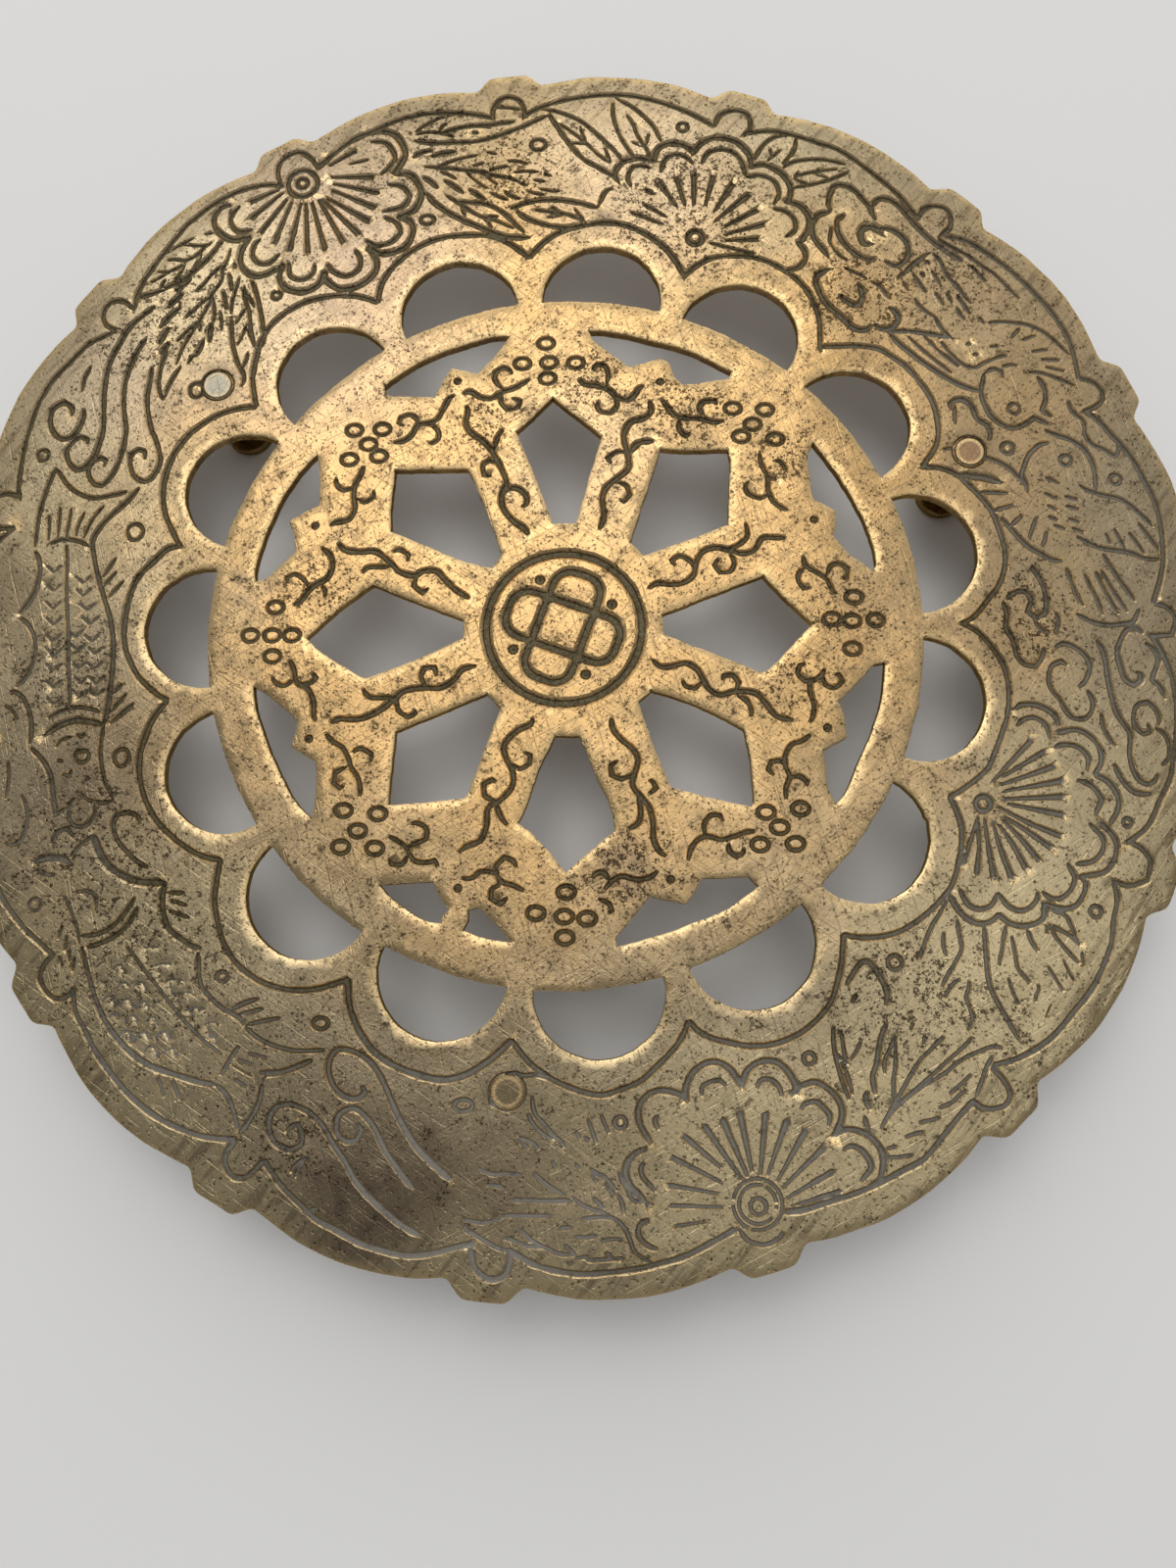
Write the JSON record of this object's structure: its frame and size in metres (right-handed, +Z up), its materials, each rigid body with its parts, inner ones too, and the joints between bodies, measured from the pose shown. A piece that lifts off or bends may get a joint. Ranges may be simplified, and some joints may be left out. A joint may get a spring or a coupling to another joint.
{
  "type": "trivet",
  "caption": "Round pierced and engraved brass trivet with a lobed rim, a ring of arched openings, a star of kite windows and riveted turned feet.",
  "frame": {"origin": "on the table under the middle of the plate", "axes": "+Z up through the plate's top face, +Y from the near edge to the far edge as pictured, +X to the right"},
  "size_m": [0.1914, 0.1917, 0.016],
  "materials": {
    "plate_brass": "aged, brushed, with dark filled engraving",
    "foot_brass": "aged, turned"
  },
  "bodies": {
    "root": {"plate": "plate_brass", "foot_left": "foot_brass", "foot_right": "foot_brass", "foot_front": "foot_brass"}
  },
  "joints": []
}
